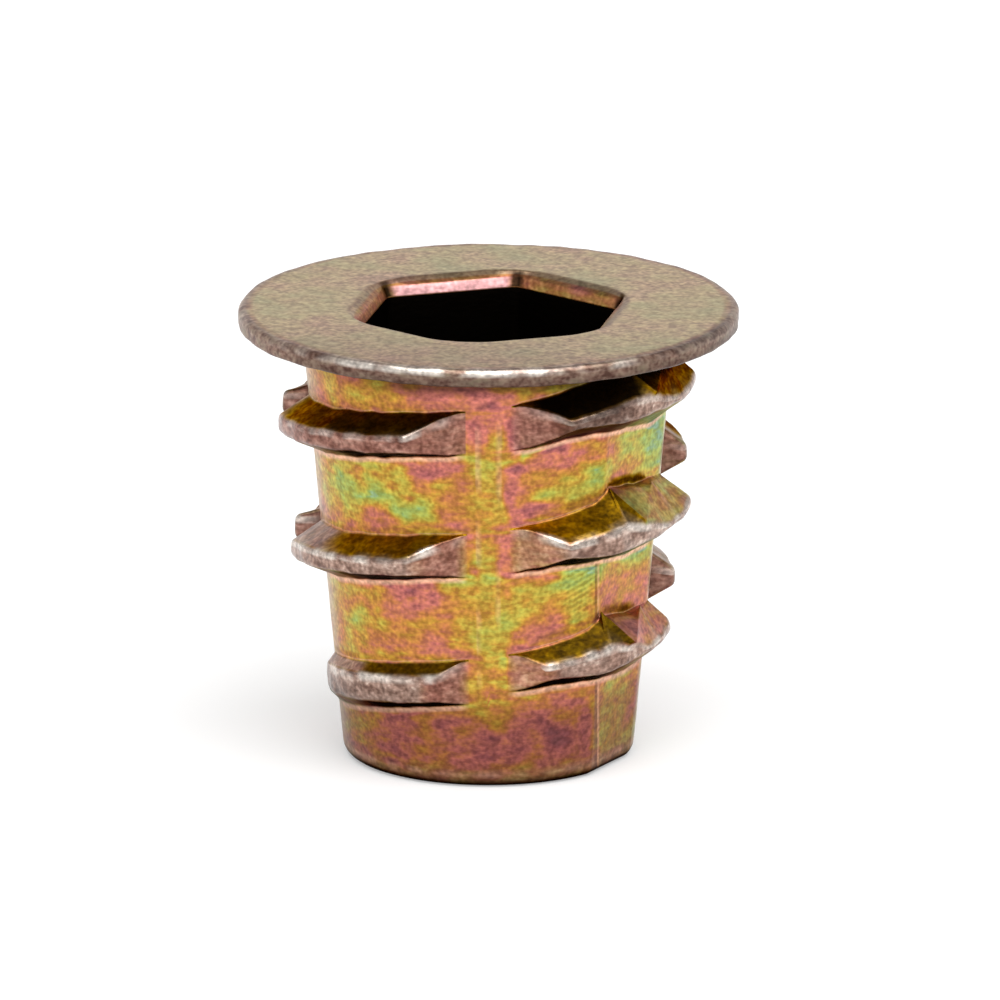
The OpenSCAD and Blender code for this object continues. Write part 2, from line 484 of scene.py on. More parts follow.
def outside_column(az):
    return rounded(outside_keys(az), TOOTH_ROUND * ROWS_OF_TEETH, TOOTH_CORNERS * ROWS_OF_TEETH, SIDES)


print(len(outside_column(30.0)), "points down the outside")

# %% [markdown]
# ## Flange, rim and base edge
# Above the teeth the outline runs out under the flange, round the rim and in over its face. Tumbling after
# casting has rounded the rim a little. Below the teeth a larger radius leads to the flat ring that the
# insert stands on, and a countersink leads from there up into the bore. A Bevel modifier could round these
# edges too, but written arcs give every column the same number of points.

# %% Arcs and straight runs
def arc(centre_r, centre_depth, radius, start, end, steps):
    """Points on an arc in the upright plane. 0 points outwards and 90 up."""
    angles = np.radians(np.linspace(start, end, steps + 1))
    return [(centre_r + radius * math.cos(a), centre_depth - radius * math.sin(a)) for a in angles]


def between(start, end, steps):
    """Points between two points, without the ends."""
    (r0, d0), (r1, d1) = start, end
    return [(r0 + (r1 - r0) * i / steps, d0 + (d1 - d0) * i / steps) for i in range(1, steps)]


print(len(arc(0, 0, 1, 90, 0, 7)), "points on an arc of 7 steps")

# %% Face, rim and underside
RIM_TOP, RIM_UNDER = 0.24, 0.15
FACE_EDGE = 0.3             # flat strip of the face beside the socket's mouth


def face(az):
    return between((mouth_r(az) + FACE_EDGE, 0.0), (flange_r - RIM_TOP, 0.0), 11)


def rim():
    top = arc(flange_r - RIM_TOP, RIM_TOP, RIM_TOP, 90, 0, 7)
    under = arc(flange_r - RIM_UNDER, FLANGE_T - RIM_UNDER, RIM_UNDER, 0, -90, 4)
    return top + between(top[-1], under[0], 4) + under


def underside(az):
    neck = barrel_r(az, TEETH_START)
    wide = NECK_R + NECK_FILLET
    fillet = [
        (wide - (wide - neck) * math.sin(math.radians(a)),
         TEETH_START - NECK_FILLET * math.cos(math.radians(a)))
        for a in (0, 22.5, 45, 67.5)
    ]
    return between((flange_r - RIM_UNDER, FLANGE_T), fillet[0], 6) + fillet


print(len(rim()), "points round the rim,", len(underside(0.0)), "under the flange")

# %% Base
BORE_R = 3.4
BORE_SINK = 0.7


def base(az):
    wall = barrel_r(az, body_h)
    lean = math.degrees(math.atan(TAPER))
    centre_r = wall + TAPER * BASE_EDGE - BASE_EDGE / math.cos(math.radians(lean))
    edge = arc(centre_r, body_h - BASE_EDGE, BASE_EDGE, -lean, -90, 6)[1:]
    ring_in = (BORE_R + BORE_SINK, body_h)
    sink_top = (BORE_R, body_h - BORE_SINK)
    return edge + between(edge[-1], ring_in, 3) + [ring_in] + between(ring_in, sink_top, 3)


print(len(base(0.0)), "points from the foot into the bore")

# %% [markdown]
# ## Socket and bore
# The hexagon's mouth is broken twice: a broad shallow edge that is nearly round, then a steep lead-in that
# guides the key. Below the socket a cone leads down to the bore. Its M8 thread has a pitch of 1.25 mm, and
# here it is real geometry: the wall moves out and in as it climbs, and fades at both ends. Both are a
# radius for every direction, so that they share their columns with the outside.

# %% Hexagon and its mouth
MOUTH_AF, LEAD_AF, HEX_AF = 9.1, 8.3, 8.0   # across flats


def hexagon_r(az, across, blunt=0.05):
    """Radius of a hexagon at an azimuth, its corners blunted a little."""
    turn = math.radians((az - HEX_CORNER + 30) % 60 - 30)
    flat = across / 2 / math.cos(math.radians(30) - abs(turn))
    return smooth_min(flat, across / math.sqrt(3) - blunt, 0.05)


def mouth_r(az):
    return smooth_min(hexagon_r(az, MOUTH_AF), LEAD_AF / math.sqrt(3), 0.12)


print(f"radius at a corner: {hexagon_r(HEX_CORNER, HEX_AF):.2f} mm, at the mouth {mouth_r(HEX_CORNER):.2f}")

# %% Bore and its thread
HEX_DEPTH = 5.5
THREAD_R, THREAD_PITCH = 4.02, 1.25
THREAD_LOW = BORE_SINK
THREAD_HIGH = body_h - HEX_DEPTH - (HEX_AF / 2 - BORE_R)
THREAD_ROWS = 60


def thread_r(az, z):
    phase = (z / THREAD_PITCH - az / 360) % 1
    tent = 1 - abs(2 * phase - 1)
    groove = min(max((tent - 0.25) / 0.62, 0), 1)
    fade = min((z - THREAD_LOW) / 0.9, (THREAD_HIGH - z) / 0.9, 1)
    return BORE_R + (THREAD_R - BORE_R) * groove * max(fade, 0)


def bore(az):
    heights = np.linspace(THREAD_LOW, THREAD_HIGH, THREAD_ROWS)[:-1]
    return [(thread_r(az, z), body_h - z) for z in heights]


print(f"thread from {THREAD_LOW:.2f} to {THREAD_HIGH:.2f} mm above the base")

# %% Socket
MOUTH_DEPTH, LEAD_DEPTH = 0.2, 0.52
FLOOR_R = 3.9
SOCKET_ROUND = (0.1, 0.08, 0.03, 0.04, 0.09)
SOCKET_CORNERS = (2, 2, 2, 2, 4)
SOCKET_SIDES = (2, 1, 9, 3, 3, 2)


def socket(az):
    wall, lead, mouth = hexagon_r(az, HEX_AF), hexagon_r(az, LEAD_AF), mouth_r(az)
    keys = [
        (BORE_R, body_h - THREAD_HIGH), (FLOOR_R, HEX_DEPTH + HEX_AF / 2 - FLOOR_R), (wall, HEX_DEPTH),
        (wall, LEAD_DEPTH), (lead, MOUTH_DEPTH), (mouth, 0.0), (mouth + FACE_EDGE, 0.0),
    ]
    return rounded(keys, SOCKET_ROUND, SOCKET_CORNERS, SOCKET_SIDES)


print(len(socket(0.0)), "points down the socket")

# %% [markdown]
# ## One closed skin
# Cutting a thread with Boolean modifiers leaves long thin faces that shade badly. Here the columns are
# joined side by side and each column closes on itself, so the skin is all quads and has no border anywhere.
# Each row of points remembers which part of the casting it belongs to, because the finish differs from part
# to part.

# %% Columns into a grid
def column_parts(az):
    return {
        "face": face(az), "rim": rim(), "underside": underside(az), "outside": outside_column(az),
        "base": base(az), "bore": bore(az), "socket": socket(az),
    }


part_rows = {name: len(points) for name, points in column_parts(0.0).items()}
row_part = np.array([name for name, count in part_rows.items() for _ in range(count)])
row_place = np.zeros(len(row_part))
row_place[row_part == "outside"] = places_along(TOOTH_CORNERS * ROWS_OF_TEETH, SIDES)
row_place[row_part == "socket"] = places_along(SOCKET_CORNERS, SOCKET_SIDES)

grid = np.array([sum(map(list, column_parts(float(az)).values()), []) for az in columns])
grid_az = np.repeat(columns[:, None], grid.shape[1], axis=1)
grid_r, grid_depth = grid[..., 0], grid[..., 1]
print(part_rows, "rows,", grid.shape[0], "columns")

# %% Join the columns
def join_columns():
    across, down = grid_r.shape
    a = np.radians(grid_az)
    xyz = np.stack([grid_r * np.sin(a), -grid_r * np.cos(a), body_h - grid_depth], axis=-1).reshape(-1, 3)
    i, j = np.meshgrid(np.arange(across), np.arange(down), indexing="ij")
    i2, j2 = (i + 1) % across, (j + 1) % down
    quads = np.stack([i * down + j, i * down + j2, i2 * down + j2, i2 * down + j], axis=-1).reshape(-1, 4)
    mesh = bpy.data.meshes.new("insert_casting")
    mesh.from_pydata((xyz * MM).tolist(), [], quads.tolist())
    mesh.shade_smooth()
    piece = bpy.data.objects.new("insert_casting", mesh)
    bpy.context.collection.objects.link(piece)
    return piece


casting = join_columns()
print(len(casting.data.vertices), "vertices,", 2 * len(casting.data.polygons), "triangles")

# %% [markdown]
# ## Where things are on the skin
# Small maps over the columns and rows say where the teeth stand, which of their sides a point is on, and
# where the facets and the rim are. Painting them by hand would be slower and would have to be done again
# after every change of shape, so the finish is laid out with these maps.

# %% Maps over the skin
part = np.repeat(row_part[None, :], len(columns), axis=0)
place = np.repeat(row_place[None, :], len(columns), axis=0)
on_outside = part == "outside"
on_rim = part == "rim"
on_rear = np.abs(grid_az) > 90
local_az = np.where(on_rear, grid_az - np.sign(grid_az) * 180, grid_az)
from_land = np.abs(local_az)
KEYS = len(TOOTH_CORNERS)
below_top = on_outside & (place >= 0.9)
tooth_place = np.where(below_top, (place - 0.9) % KEYS + 0.9, 0.0)
row_of_teeth = np.floor((place - 0.9) / KEYS)
has_teeth = below_top & (place < KEYS * ROWS_OF_TEETH + 0.5) & ~(on_rear & (row_of_teeth == 2))
toothed = has_teeth & (from_land > LAND_A) & (from_land <= SIDE_END + 0.01)


def window(values, low, high, soft):
    """1 between low and high, falling to 0 over a soft distance on both sides."""
    return np.clip((values - low) / soft + 0.5, 0, 1) * np.clip((high - values) / soft + 0.5, 0, 1)


upper_flank = toothed * window(tooth_place, 2.0, 3.95, 0.1)
crest = toothed * window(tooth_place, 3.95, 5.05, 0.1)
lower_flank = toothed * window(tooth_place, 5.05, 5.95, 0.1)
end_wall = (from_land > SIDE_END - 0.05) & (from_land < SIDE_END + 0.4)
tooth_end = has_teeth * end_wall * window(tooth_place, 1.0, 6.05, 0.1)
print("share of the skin on crests:", round(float((crest > 0.5).mean()), 3))


# %% [markdown]
# ## Unevenness of the casting
# Tumbled zinc isn't crisp. Every vertex moves a few hundredths of a millimetre along its normal: long soft
# waves from the die, and short dents on the crests and the rim, where the inserts knocked together in the
# drum. A Displace modifier could do this, but in code each part of the casting gets its own amount. The
# flange only loses metal, so the part stays inside its design size.

# %% Smooth noise over the skin
def field(size_mm, seed, squeeze=(1, 1, 1)):
    """Smooth noise over the skin, about -1 to 1, with features of about the given size."""
    a = np.radians(grid_az)
    points = np.stack([
        grid_r * np.sin(a) * squeeze[0], -grid_r * np.cos(a) * squeeze[1], grid_depth * squeeze[2],
    ], axis=-1).reshape(-1, 3) / size_mm + seed * 17.31
    values = [noise.noise(Vector(p)) for p in points]
    return np.clip(np.array(values).reshape(grid_r.shape) * 1.6, -1, 1)


long_waves, short_waves = field(2.2, 1), field(0.9, 2)
print(f"long waves between {long_waves.min():.2f} and {long_waves.max():.2f}")

# %% Lumps and dents
def add_lumps(piece):
    move = 0.010 * long_waves * on_outside
    move += 0.008 * short_waves * on_outside
    dents = np.clip(field(0.8, 3), -0.25, 1) - 0.1
    move -= 0.045 * dents * np.maximum(crest, tooth_end)
    land = window(from_land, -1, LAND_STRIP, 0.5) * window(grid_depth, 2.2, 12.8, 1)
    move += 0.022 * on_outside * land
    move -= on_rim * (0.02 + 0.018 * field(0.75, 4) + 0.012 * field(1.9, 5))
    move -= (part == "face") * (0.006 + 0.005 * field(1.4, 6))
    move += (part == "socket") * window(place, 2.5, 4.5, 0.5) * 0.006 * field(0.7, 7)
    mesh = piece.data
    count = len(mesh.vertices)
    normals = np.empty(count * 3)
    mesh.vertex_normals.foreach_get("vector", normals)
    points = np.empty(count * 3)
    mesh.vertices.foreach_get("co", points)
    points += normals * np.repeat(move.reshape(-1) * MM, 3)
    mesh.vertices.foreach_set("co", points)
    mesh.update()
    print(f"lumps between {move.min():.3f} and {move.max():.3f} mm")


add_lumps(casting)

# %% [markdown]
# ## The chromate film
# Yellow chromate is a clear film that shows colours like oil on water. They change with its thickness, in
# the order purple, magenta, orange, amber, yellow-green, green, teal. The bath drains unevenly, so thick
# and thin areas lie in soft stains and streaks. `film` holds that order from 0 to 1 at every vertex: broad
# stains listed for the front and scattered at random elsewhere, bent and broken up with noise. A
# table and noise need no picture file and don't blur when seen from close by.

# %% Stains in the film
# azimuth and depth of the middle, half width in degrees, half height in mm, slant in mm per 10 degrees,
# and the place in the film's order
STAINS = [
    (-64, 1.5, 14, 0.5, 0, 0.52), (-38, 1.5, 16, 0.25, 0, 0.40), (-38, 1.9, 16, 0.12, 0, 0.60),
    (-14, 1.7, 9, 0.3, 0, 0.22), (1, 2.1, 9, 0.5, 0, 0.26), (22, 1.2, 14, 0.2, 0, 0.58),
    (62, 1.3, 14, 0.5, 0, 0.55), (-1, 3.0, 2.2, 0.6, 0, 0.52), (-5.5, 2.9, 1.6, 0.6, 0, 0.28),
    (-5, 3.8, 5, 0.3, 0, 0.76), (6.8, 4.1, 1.5, 1.5, 0, 0.15), (6, 2.7, 2, 0.5, 0, 0.18),
    (-42, 3.75, 20, 0.2, 0.05, 0.42), (-17, 4.0, 5, 0.2, 0, 0.31), (-44, 4.3, 8, 0.25, 0.1, 0.64),
    (-33, 4.75, 9, 0.25, 0.15, 0.64), (-34, 5.6, 13, 0.35, 0.15, 0.84), (-25, 5.9, 7, 0.25, 0.1, 0.88),
    (-56, 5.6, 5, 0.5, 0.1, 0.92), (-70, 4.9, 5, 0.8, 0, 0.56), (-14, 4.9, 8, 0.7, 0, 0.48),
    (-42, 6.1, 22, 0.2, 0, 0.34), (-70, 5.9, 8, 0.5, 0, 0.62), (-12, 6.0, 6, 0.4, 0, 0.36),
    (12, 3.65, 5, 0.12, -0.2, 0.95), (23, 3.5, 9, 0.14, -0.25, 0.08), (18, 4.2, 9, 0.4, -0.2, 0.34),
    (24, 4.9, 9, 0.35, -0.2, 0.60), (35, 4.8, 5, 0.3, -0.2, 0.90), (14, 5.8, 6, 0.13, -0.2, 0.20),
    (47, 3.3, 6, 0.5, 0, 0.38), (54, 6.3, 5, 0.4, 0, 0.72), (66, 6.5, 6, 0.6, 0, 0.60),
    (54, 4.0, 5, 0.4, 0, 0.66), (64, 3.4, 9, 0.7, 0, 0.78), (76, 3.8, 8, 1.0, 0, 0.98),
    (-1, 5.2, 4, 0.7, 0, 0.62), (0, 6.4, 3, 0.5, 0, 0.44), (-1, 7.4, 3, 0.7, 0, 0.70),
    (5, 7.2, 2, 0.8, 0, 0.32), (-5.5, 7.0, 1.5, 0.7, 0, 0.38), (-28, 8.6, 9, 0.5, 0.1, 0.18),
    (-18, 9.0, 6, 0.3, 0.1, 0.34), (-48, 8.9, 8, 0.5, 0, 0.44), (-33, 9.6, 9, 0.35, 0, 0.34),
    (-22, 9.9, 6, 0.3, 0, 0.46), (-57, 10.3, 7, 0.3, 0, 0.66), (-45, 10.2, 6, 0.25, 0, 0.56),
    (-72, 9.0, 9, 1.2, 0, 0.58), (-9, 8.5, 5, 0.4, 0, 0.74), (-2, 9.2, 4, 0.4, 0, 0.60),
    (-3, 10.1, 8, 0.4, 0, 0.70), (-24, 10.7, 13, 0.15, 0, 0.30), (10, 8.1, 8, 0.2, -0.1, 0.34),
    (17, 8.8, 7, 0.4, -0.1, 0.68), (25, 9.4, 6, 0.4, -0.2, 0.42), (19, 10.2, 9, 0.25, -0.3, 0.24),
    (34, 8.2, 6, 0.7, -0.2, 0.86), (52, 7.5, 7, 0.4, -0.1, 0.76), (66, 7.6, 13, 0.6, 0, 0.98),
    (50, 8.8, 9, 0.35, -0.1, 0.36), (56, 10.8, 9, 0.6, 0, 0.30), (35, 9.6, 5, 0.3, -0.2, 0.62),
    (0, 11.4, 2.5, 0.8, 0, 0.50), (4.5, 11.3, 1.6, 0.6, 0, 0.64), (0, 12.7, 5, 0.35, 0, 0.60),
    (-34, 13.1, 18, 0.2, 0, 0.34), (-28, 13.8, 17, 0.5, 0, 0.22), (-60, 13.5, 12, 0.9, 0, 0.48),
    (-8, 13.6, 9, 0.4, 0, 0.28), (9, 13.6, 6, 0.5, 0, 0.24), (2, 14.5, 7, 0.25, 0, 0.18),
    (22, 13.2, 10, 0.3, -0.2, 0.22), (26, 14.0, 8, 0.3, 0, 0.22), (30, 14.5, 7, 0.3, 0, 0.20),
    (42, 13.8, 3, 0.7, 0, 0.15), (49, 13.2, 3, 0.7, 0, 0.42), (61, 13.4, 9, 1.0, 0, 0.64),
    (76, 13.6, 8, 1.0, 0, 0.40), (-40, 14.8, 30, 0.2, 0, 0.30), (0, 15.25, 70, 0.2, 0, 0.50),
]
print(len(STAINS), "stains placed by hand")

# %% Order of the film
def scattered_stains(count):
    """Stains like the ones above for the sides and the back."""
    draw = np.random.default_rng(8)
    return [
        (draw.uniform(85, 275), draw.uniform(1.2, 15.2), draw.uniform(5, 16), draw.uniform(0.25, 0.8),
         draw.uniform(-0.2, 0.2), draw.choice([0.06, 0.16, 0.3, 0.4, 0.5, 0.62, 0.78, 0.9, 0.98]))
        for _ in range(count)
    ]


def film_order():
    bent_az = grid_az + 3.5 * field(1.6, 11) + 1.5 * field(0.7, 16)
    bent_depth = grid_depth + 0.2 * field(1.3, 12) + 0.1 * field(0.6, 13)
    total, weight = np.full(grid_r.shape, 0.46 * 0.03), np.full(grid_r.shape, 0.03)
    for az, depth, half_az, half_depth, slant, order in STAINS + scattered_stains(90):
        across = (bent_az - az + 180) % 360 - 180
        down = bent_depth - depth - slant * across / 10
        near = np.exp(-1.1 * ((across / half_az) ** 2 + (down / half_depth) ** 2))
        w = near / math.sqrt(half_az * half_depth)
        total += w * order
        weight += w
    streaks = 0.16 * field(0.95, 14, (1, 1, 5)) + 0.06 * field(0.45, 15, (1, 1, 4))
    return np.clip(total / weight + streaks, 0, 1)


film = film_order()
print(f"film order {film.min():.2f} to {film.max():.2f}, mean {film.mean():.2f}")

# %% [markdown]
# ## Rubbed and browned areas
# Tumbling rubs the film off whatever stands out, so the crests and the ends of the teeth are a greyed
# mauve-brown metal (`rubbed`). Where the film is only thinned, on the facets beside the lands, on the
# socket's edges and at the foot, it turns brown (`browned`). Blender can find edges by their curvature, but
# it can't tell a crest from a socket's edge, so the wear is laid by the part of the casting.

# %% Soft steps and the strongest of several maps
def past(values, start, soft):
    """0 before start and 1 after it, with a soft step."""
    return np.clip((values - start) / soft + 0.5, 0, 1)


def strongest(*maps):
    """The largest of several maps at every point."""
    return np.maximum.reduce([m.astype(float) for m in maps])


print("half a soft step before and after its start:", past(np.array([-0.5, 0.5]), 0.0, 1.0))

# %% Zones of wear
front_left = on_outside & ~on_rear & (grid_az < 0)
front_right = on_outside & ~on_rear & (grid_az > 0)
top_row = row_of_teeth == 0
foot = on_outside | (part == "base")
face_front = (part == "face") * past(grid_r * np.cos(np.radians(grid_az)), 4.0, 5)

facet = past(from_land, 9, 4)
facet_zone = facet * toothed * window(tooth_place, 3.9, 5.1, 0.1) * (1 - past(from_land, 22, 5))
fill_side = toothed * past(local_az, 44, 1.0)
fill_side = fill_side * np.where(local_az > 50.6, 1.0, window(tooth_place, 0, 3.0, 0.1))
ragged_az = local_az + 3 * field(1.0, 21)
left_start = np.choose(np.clip(row_of_teeth, 0, 2).astype(int), [78, 56, 50])
left_side = past(-ragged_az, left_start, 7) * (ragged_az < 0)
worn_flank = upper_flank * np.maximum(fill_side, left_side)
print("share of the skin on worn flanks:", round(float((worn_flank > 0.5).mean()), 3))

# %% Rubbed and browned
rubbed = strongest(
    crest * (1 - 0.5 * facet_zone) * facet,
    0.75 * tooth_end,
    worn_flank * np.where(local_az < 0, 0.65, 0.15),
)
browned = strongest(
    facet_zone * np.where(front_right & ~top_row, 0.35, 0.9),
    0.85 * crest * top_row * front_left,
    0.4 * (part == "socket") * window(place, 3.0, 5.05, 0.12),
    0.55 * worn_flank * front_left,
    0.55 * past(grid_depth, 14.95, 0.5) * foot,
    0.7 * tooth_end,
    0.32 * face_front * window(grid_az, -75, 25, 30),
)
print("share of the skin rubbed bare:", round(float((rubbed > 0.5).mean()), 3))

# %% [markdown]
# ## Pooled film and painted shade
# In the hollows above the teeth the bath pooled and dried to a dark olive gold. The same gold also stands
# in for shade on the upper flanks under the flange and the teeth above, is painted as shade in the groove
# above the fillings, and shows faintly as a painted reflection where the barrel mirrors a hollow
# (`pooled_and_shade`). The socket, the bore, the undersides of the teeth, the recess under the flange, the
# neck and the foot's edge are painted nearly black as shade (`painted_shade`).

# %% Height above the teeth
above_root = np.full_like(grid_depth, -9.0)
for row in range(ROWS_OF_TEETH):
    at_root = (row_part == "outside") & (np.abs(row_place - (KEYS * row + 1)) < 0.02)
    foot_row = int(np.flatnonzero(at_root)[0])
    gap_rows = on_outside & (place <= KEYS * row + 1.11) & (place > KEYS * row - 0.05)
    above_root = np.where(gap_rows, grid_depth[:, foot_row:foot_row + 1] - grid_depth, above_root)
# The groove above the fillings is painted shade: olive gold and near black in a thin band over the riser.
tall = 0.30 * np.sqrt(np.clip(1 - ((local_az - 57) / 14) ** 2, 0, 1))
groove = front_right * (above_root > -0.01) * (tall > 0) * window(above_root, 0.02, tall, 0.08)
groove = groove * np.where(grid_depth > 8, 0.45, 1.0)
# Painted reflection: a faint olive gold band on the barrel just above the roots, as if it mirrored the
# flank.
painted_reflection = strongest(
    front_right * window(above_root, 0.10, 0.34, 0.14) * window(local_az, 18, 42, 8),
    0.5 * front_left * window(above_root, 0.02, 0.2, 0.12),
)
print("points in the groove above the fillings:", int((groove > 0.3).sum()))

# %% Pooled film and painted shade
pooled_and_shaded_flank = upper_flank * (1 - worn_flank)
front_top = toothed & top_row & ~on_rear & (local_az > 0)
# Pooled film on the upper flanks, which also stands in for their shade under the flange and the teeth
# above.
pooled_and_shade = strongest(
    pooled_and_shaded_flank,
    front_top * worn_flank,
    0.8 * (part == "underside"),
    0.5 * painted_reflection,
    groove,
)
socket_wall = (part == "socket") * window(place, -1, 3.0, 0.1)
lead_in = (part == "socket") * window(place, 3.0, 4.0, 0.12)
mouth_break = (part == "socket") * window(place, 4.0, 5.05, 0.15)
mouth_break = mouth_break * (1 - 0.7 * window(grid_az, -125, -60, 10))
hex_turn = np.abs((grid_az - HEX_CORNER + 30) % 60 - 30)
# Painted shadow under the teeth.
under_tooth_shadow = (0.97 - 0.55 * past(from_land, 50, 16)) * lower_flank * facet
# Painted shade, nearly black, in the socket, bore, under the teeth, under the flange, in the groove and at
# the foot.
painted_shade = strongest(
    socket_wall,
    0.75 * (part == "bore"),
    (0.95 * lead_in + 0.7 * mouth_break) * window(hex_turn, -5, 2.6, 2.0),
    under_tooth_shadow * np.where(front_right & top_row, 0.75, 1.0),
    0.96 * front_top * upper_flank * window(local_az, 13, 48, 5),
    0.5 * upper_flank * top_row * front_left * window(local_az, -50, 9, 18),
    0.5 * upper_flank * front_right * window(local_az, 33, 50, 14),
    0.55 * pooled_and_shaded_flank * (row_of_teeth == 2),
    0.72 * pooled_and_shaded_flank * (row_of_teeth == 2) * front_right * window(local_az, 20, 60, 10),
    0.62 * groove,
    0.85 * past(grid_depth, 15.33, 0.2) * (part != "bore"),
    0.75 * (on_outside | (part == "underside")) * (1 - past(grid_depth, 1.47, 0.2)),
)
print("share of the skin left dark:", round(float((painted_shade > 0.5).mean()), 3))

# %% [markdown]
# ## Painted highlights and bright wear
# The upper edges of the teeth are rubbed bright by wear and carry a painted highlight, here and there more
# than elsewhere and weak under the flange. The front of the rim's shoulder and a line down the barrel's
# right edge are painted highlights. Thin painted highlights follow the barrel beside each tooth, both edges
# of the land's strip and the foot.

# %% Painted highlights and lines
spots = np.clip(0.6 + 0.9 * field(0.45, 22), 0, 1)
ragged = np.clip(0.65 + 1.3 * field(0.7, 24), 0, 1)
rim_height = np.clip(grid_depth / FLANGE_T, 0, 1) * on_rim
upper_edge = toothed * window(tooth_place, 3.92, 4.13, 0.08)
upper_edge = upper_edge * np.interp(from_land, (9, 13, 20, 27, 36), (0.1, 0.3, 1.0, 0.6, 0.8))
upper_edge = upper_edge * np.where(top_row & (from_land > 28), 0.5, 1.0)
upper_edge = upper_edge * np.where(top_row & (local_az > 0) & (local_az < 44), 0.35, 1.0)
# Painted highlight on the rim's shoulder: full at the front, towards the lamp, faint elsewhere.
rim_shine = np.interp(grid_az, (-180, -48, -36, 26, 38, 90, 180), (0.3, 0.3, 1, 1, 0.1, 0.1, 0.3))
rim_highlight = on_rim * window(rim_height, 0.02, 0.36, 0.1) * rim_shine
bare_wall = on_outside & ~on_rear & ((grid_az > 83.3) | ~has_teeth | (tooth_place > 6.08))
# Bright wear and painted highlight together; the line at 82.5 to 90 degrees is painted highlight only.
bright_wear_and_highlight = strongest(
    0.85 * upper_edge * spots,
    0.85 * rim_highlight * ragged,
    0.45 * bare_wall * window(grid_az, 82.5, 90, 3) * ragged,
    0.2 * crest * front_right * (row_of_teeth == 1) * window(local_az, 25, 62, 6) * ragged,
)

# Painted highlights: thin light lines on the barrel just below and just above each tooth.
root_highlights = np.maximum(
    0.95 * toothed * window(tooth_place, 5.97, 6.11, 0.08),
    0.5 * toothed * window(tooth_place, 0.93, 1.03, 0.06),
)
# Painted highlight along both edges of the land's raised strip, and along the foot.
ridge = on_outside & ~on_rear & (np.abs(np.abs(grid_az) - LAND_STRIP) < 0.5)
ridge = ridge * np.clip(0.3 + 1.6 * field(0.9, 23), 0, 1) * window(grid_depth, 2.6, 12.6, 0.5)
highlight_lines = strongest(
    root_highlights * facet * window(from_land, 0, 78, 8),
    0.28 * ridge,
    0.6 * ragged * foot * window(grid_depth, 15.05, 15.2, 0.1),
)
print("points on bright edges and fine lines:", [int((m > 0.4).sum()) for m in (bright_wear_and_highlight, highlight_lines)])

# %% [markdown]
# ## Darkened places, pale sides and marks of the die
# The colour is darker towards the foot, on the right of the rim and on the rear lobes, and it carries
# painted shade down the rim's side, on the top right tooth under the flange and in the socket's mouth
# (`darker_and_shaded`). It is paler where the barrel curves away on the left, and a painted highlight runs
# down its right edge (`pale_and_edge_highlight`). The die's step down the right of the barrel (`split`)
# isn't in the shape but is painted as a highlight on one side and a shadow on the other, and its fine
# ripples (`gate`) are bumps with painted light and shade on them.

# %% Darkened places, pale sides and die marks
pale_left = past(-grid_az, 76, 18) * (1 - past(-grid_az, 98, 8)) * np.clip(0.55 + ragged, 0, 1)
# Painted highlight: a pale line down the barrel's right edge, where it turns away.
right_edge_highlight = past(grid_az, 86, 7) * (1 - past(grid_az, 92, 4))
pale_and_edge_highlight = on_outside * np.maximum(pale_left, right_edge_highlight)
rim_shadow = 0.95 - 0.4 * window(grid_az, -110, -48, 16)
# Painted shade down the rim's side, under the flange on the top right tooth and in the socket's mouth.
darker_and_shaded = strongest(
    0.62 * past(grid_depth, 12.6, 1.2) * foot,
    on_rim * np.sqrt(rim_height) * rim_shadow,
    0.55 * on_rim * window(grid_az, 42, 80, 12),
    0.4 * tooth_end * on_rear,
    0.3 * has_teeth * on_rear * (from_land > 60),
    0.45 * mouth_break,
    0.22 * facet_zone * (front_left | top_row),
    0.25 * crest * top_row * front_left,
    0.5 * front_top * worn_flank,
    0.75 * front_right * top_row * crest * window(local_az, 18, 43, 6),
    0.12 * face_front,
)
gate = on_outside * window(grid_az, 27, 40, 4) * window(grid_depth, 7.8, 9.5, 0.4)
split = (bare_wall | ((part == "base") & ~on_rear)) * past(grid_depth, 7, 0.5)
print("points on the die's ripples:", int((gate > 0.3).sum()))

# %% Store the maps on the mesh
RIPPLE_MM = 0.2             # from crest to crest of the die's ripples
MAPS = dict(
    film=film, pale_and_edge_highlight=pale_and_edge_highlight, darker_and_shaded=darker_and_shaded, rubbed=rubbed, browned=browned, pooled_and_shade=pooled_and_shade, painted_shade=painted_shade,
    bright_wear_and_highlight=bright_wear_and_highlight, highlight_lines=highlight_lines, split=split, gate=gate, rim=on_rim,
    face=(part == "face") | ((part == "socket") & (place > 4.5)),
    # Painted highlight: the lead-in of the far left wall, which mirrors the lamp, is painted light pink.
    far_lead_in_highlight=lead_in * window((grid_az + 342) % 360 - 180, -27, 27, 3),
    across=grid_r * np.sin(np.radians(grid_az)),
    gate_phase=(grid_depth + 0.035 * grid_az) / RIPPLE_MM * 2 * math.pi,
)
for name, values in MAPS.items():
    layer = casting.data.attributes.new(name, "FLOAT", "POINT")
    layer.data.foreach_set("value", values.astype(np.float32).reshape(-1))
print(len(MAPS), "maps stored")

# %% [markdown]
# ## Helpers for materials
# Colours are written as sRGB hex values, the way they look on a screen, and one function turns them linear.
# One function adds any shader node with its settings, plain values, colour stops and links.

# %% Colour and node helpers
def linear(hex_colour):
    parts = [int(hex_colour[i:i + 2], 16) / 255 for i in (1, 3, 5)]
    return tuple(c / 12.92 if c <= 0.04045 else ((c + 0.055) / 1.055) ** 2.4 for c in parts) + (1.0,)


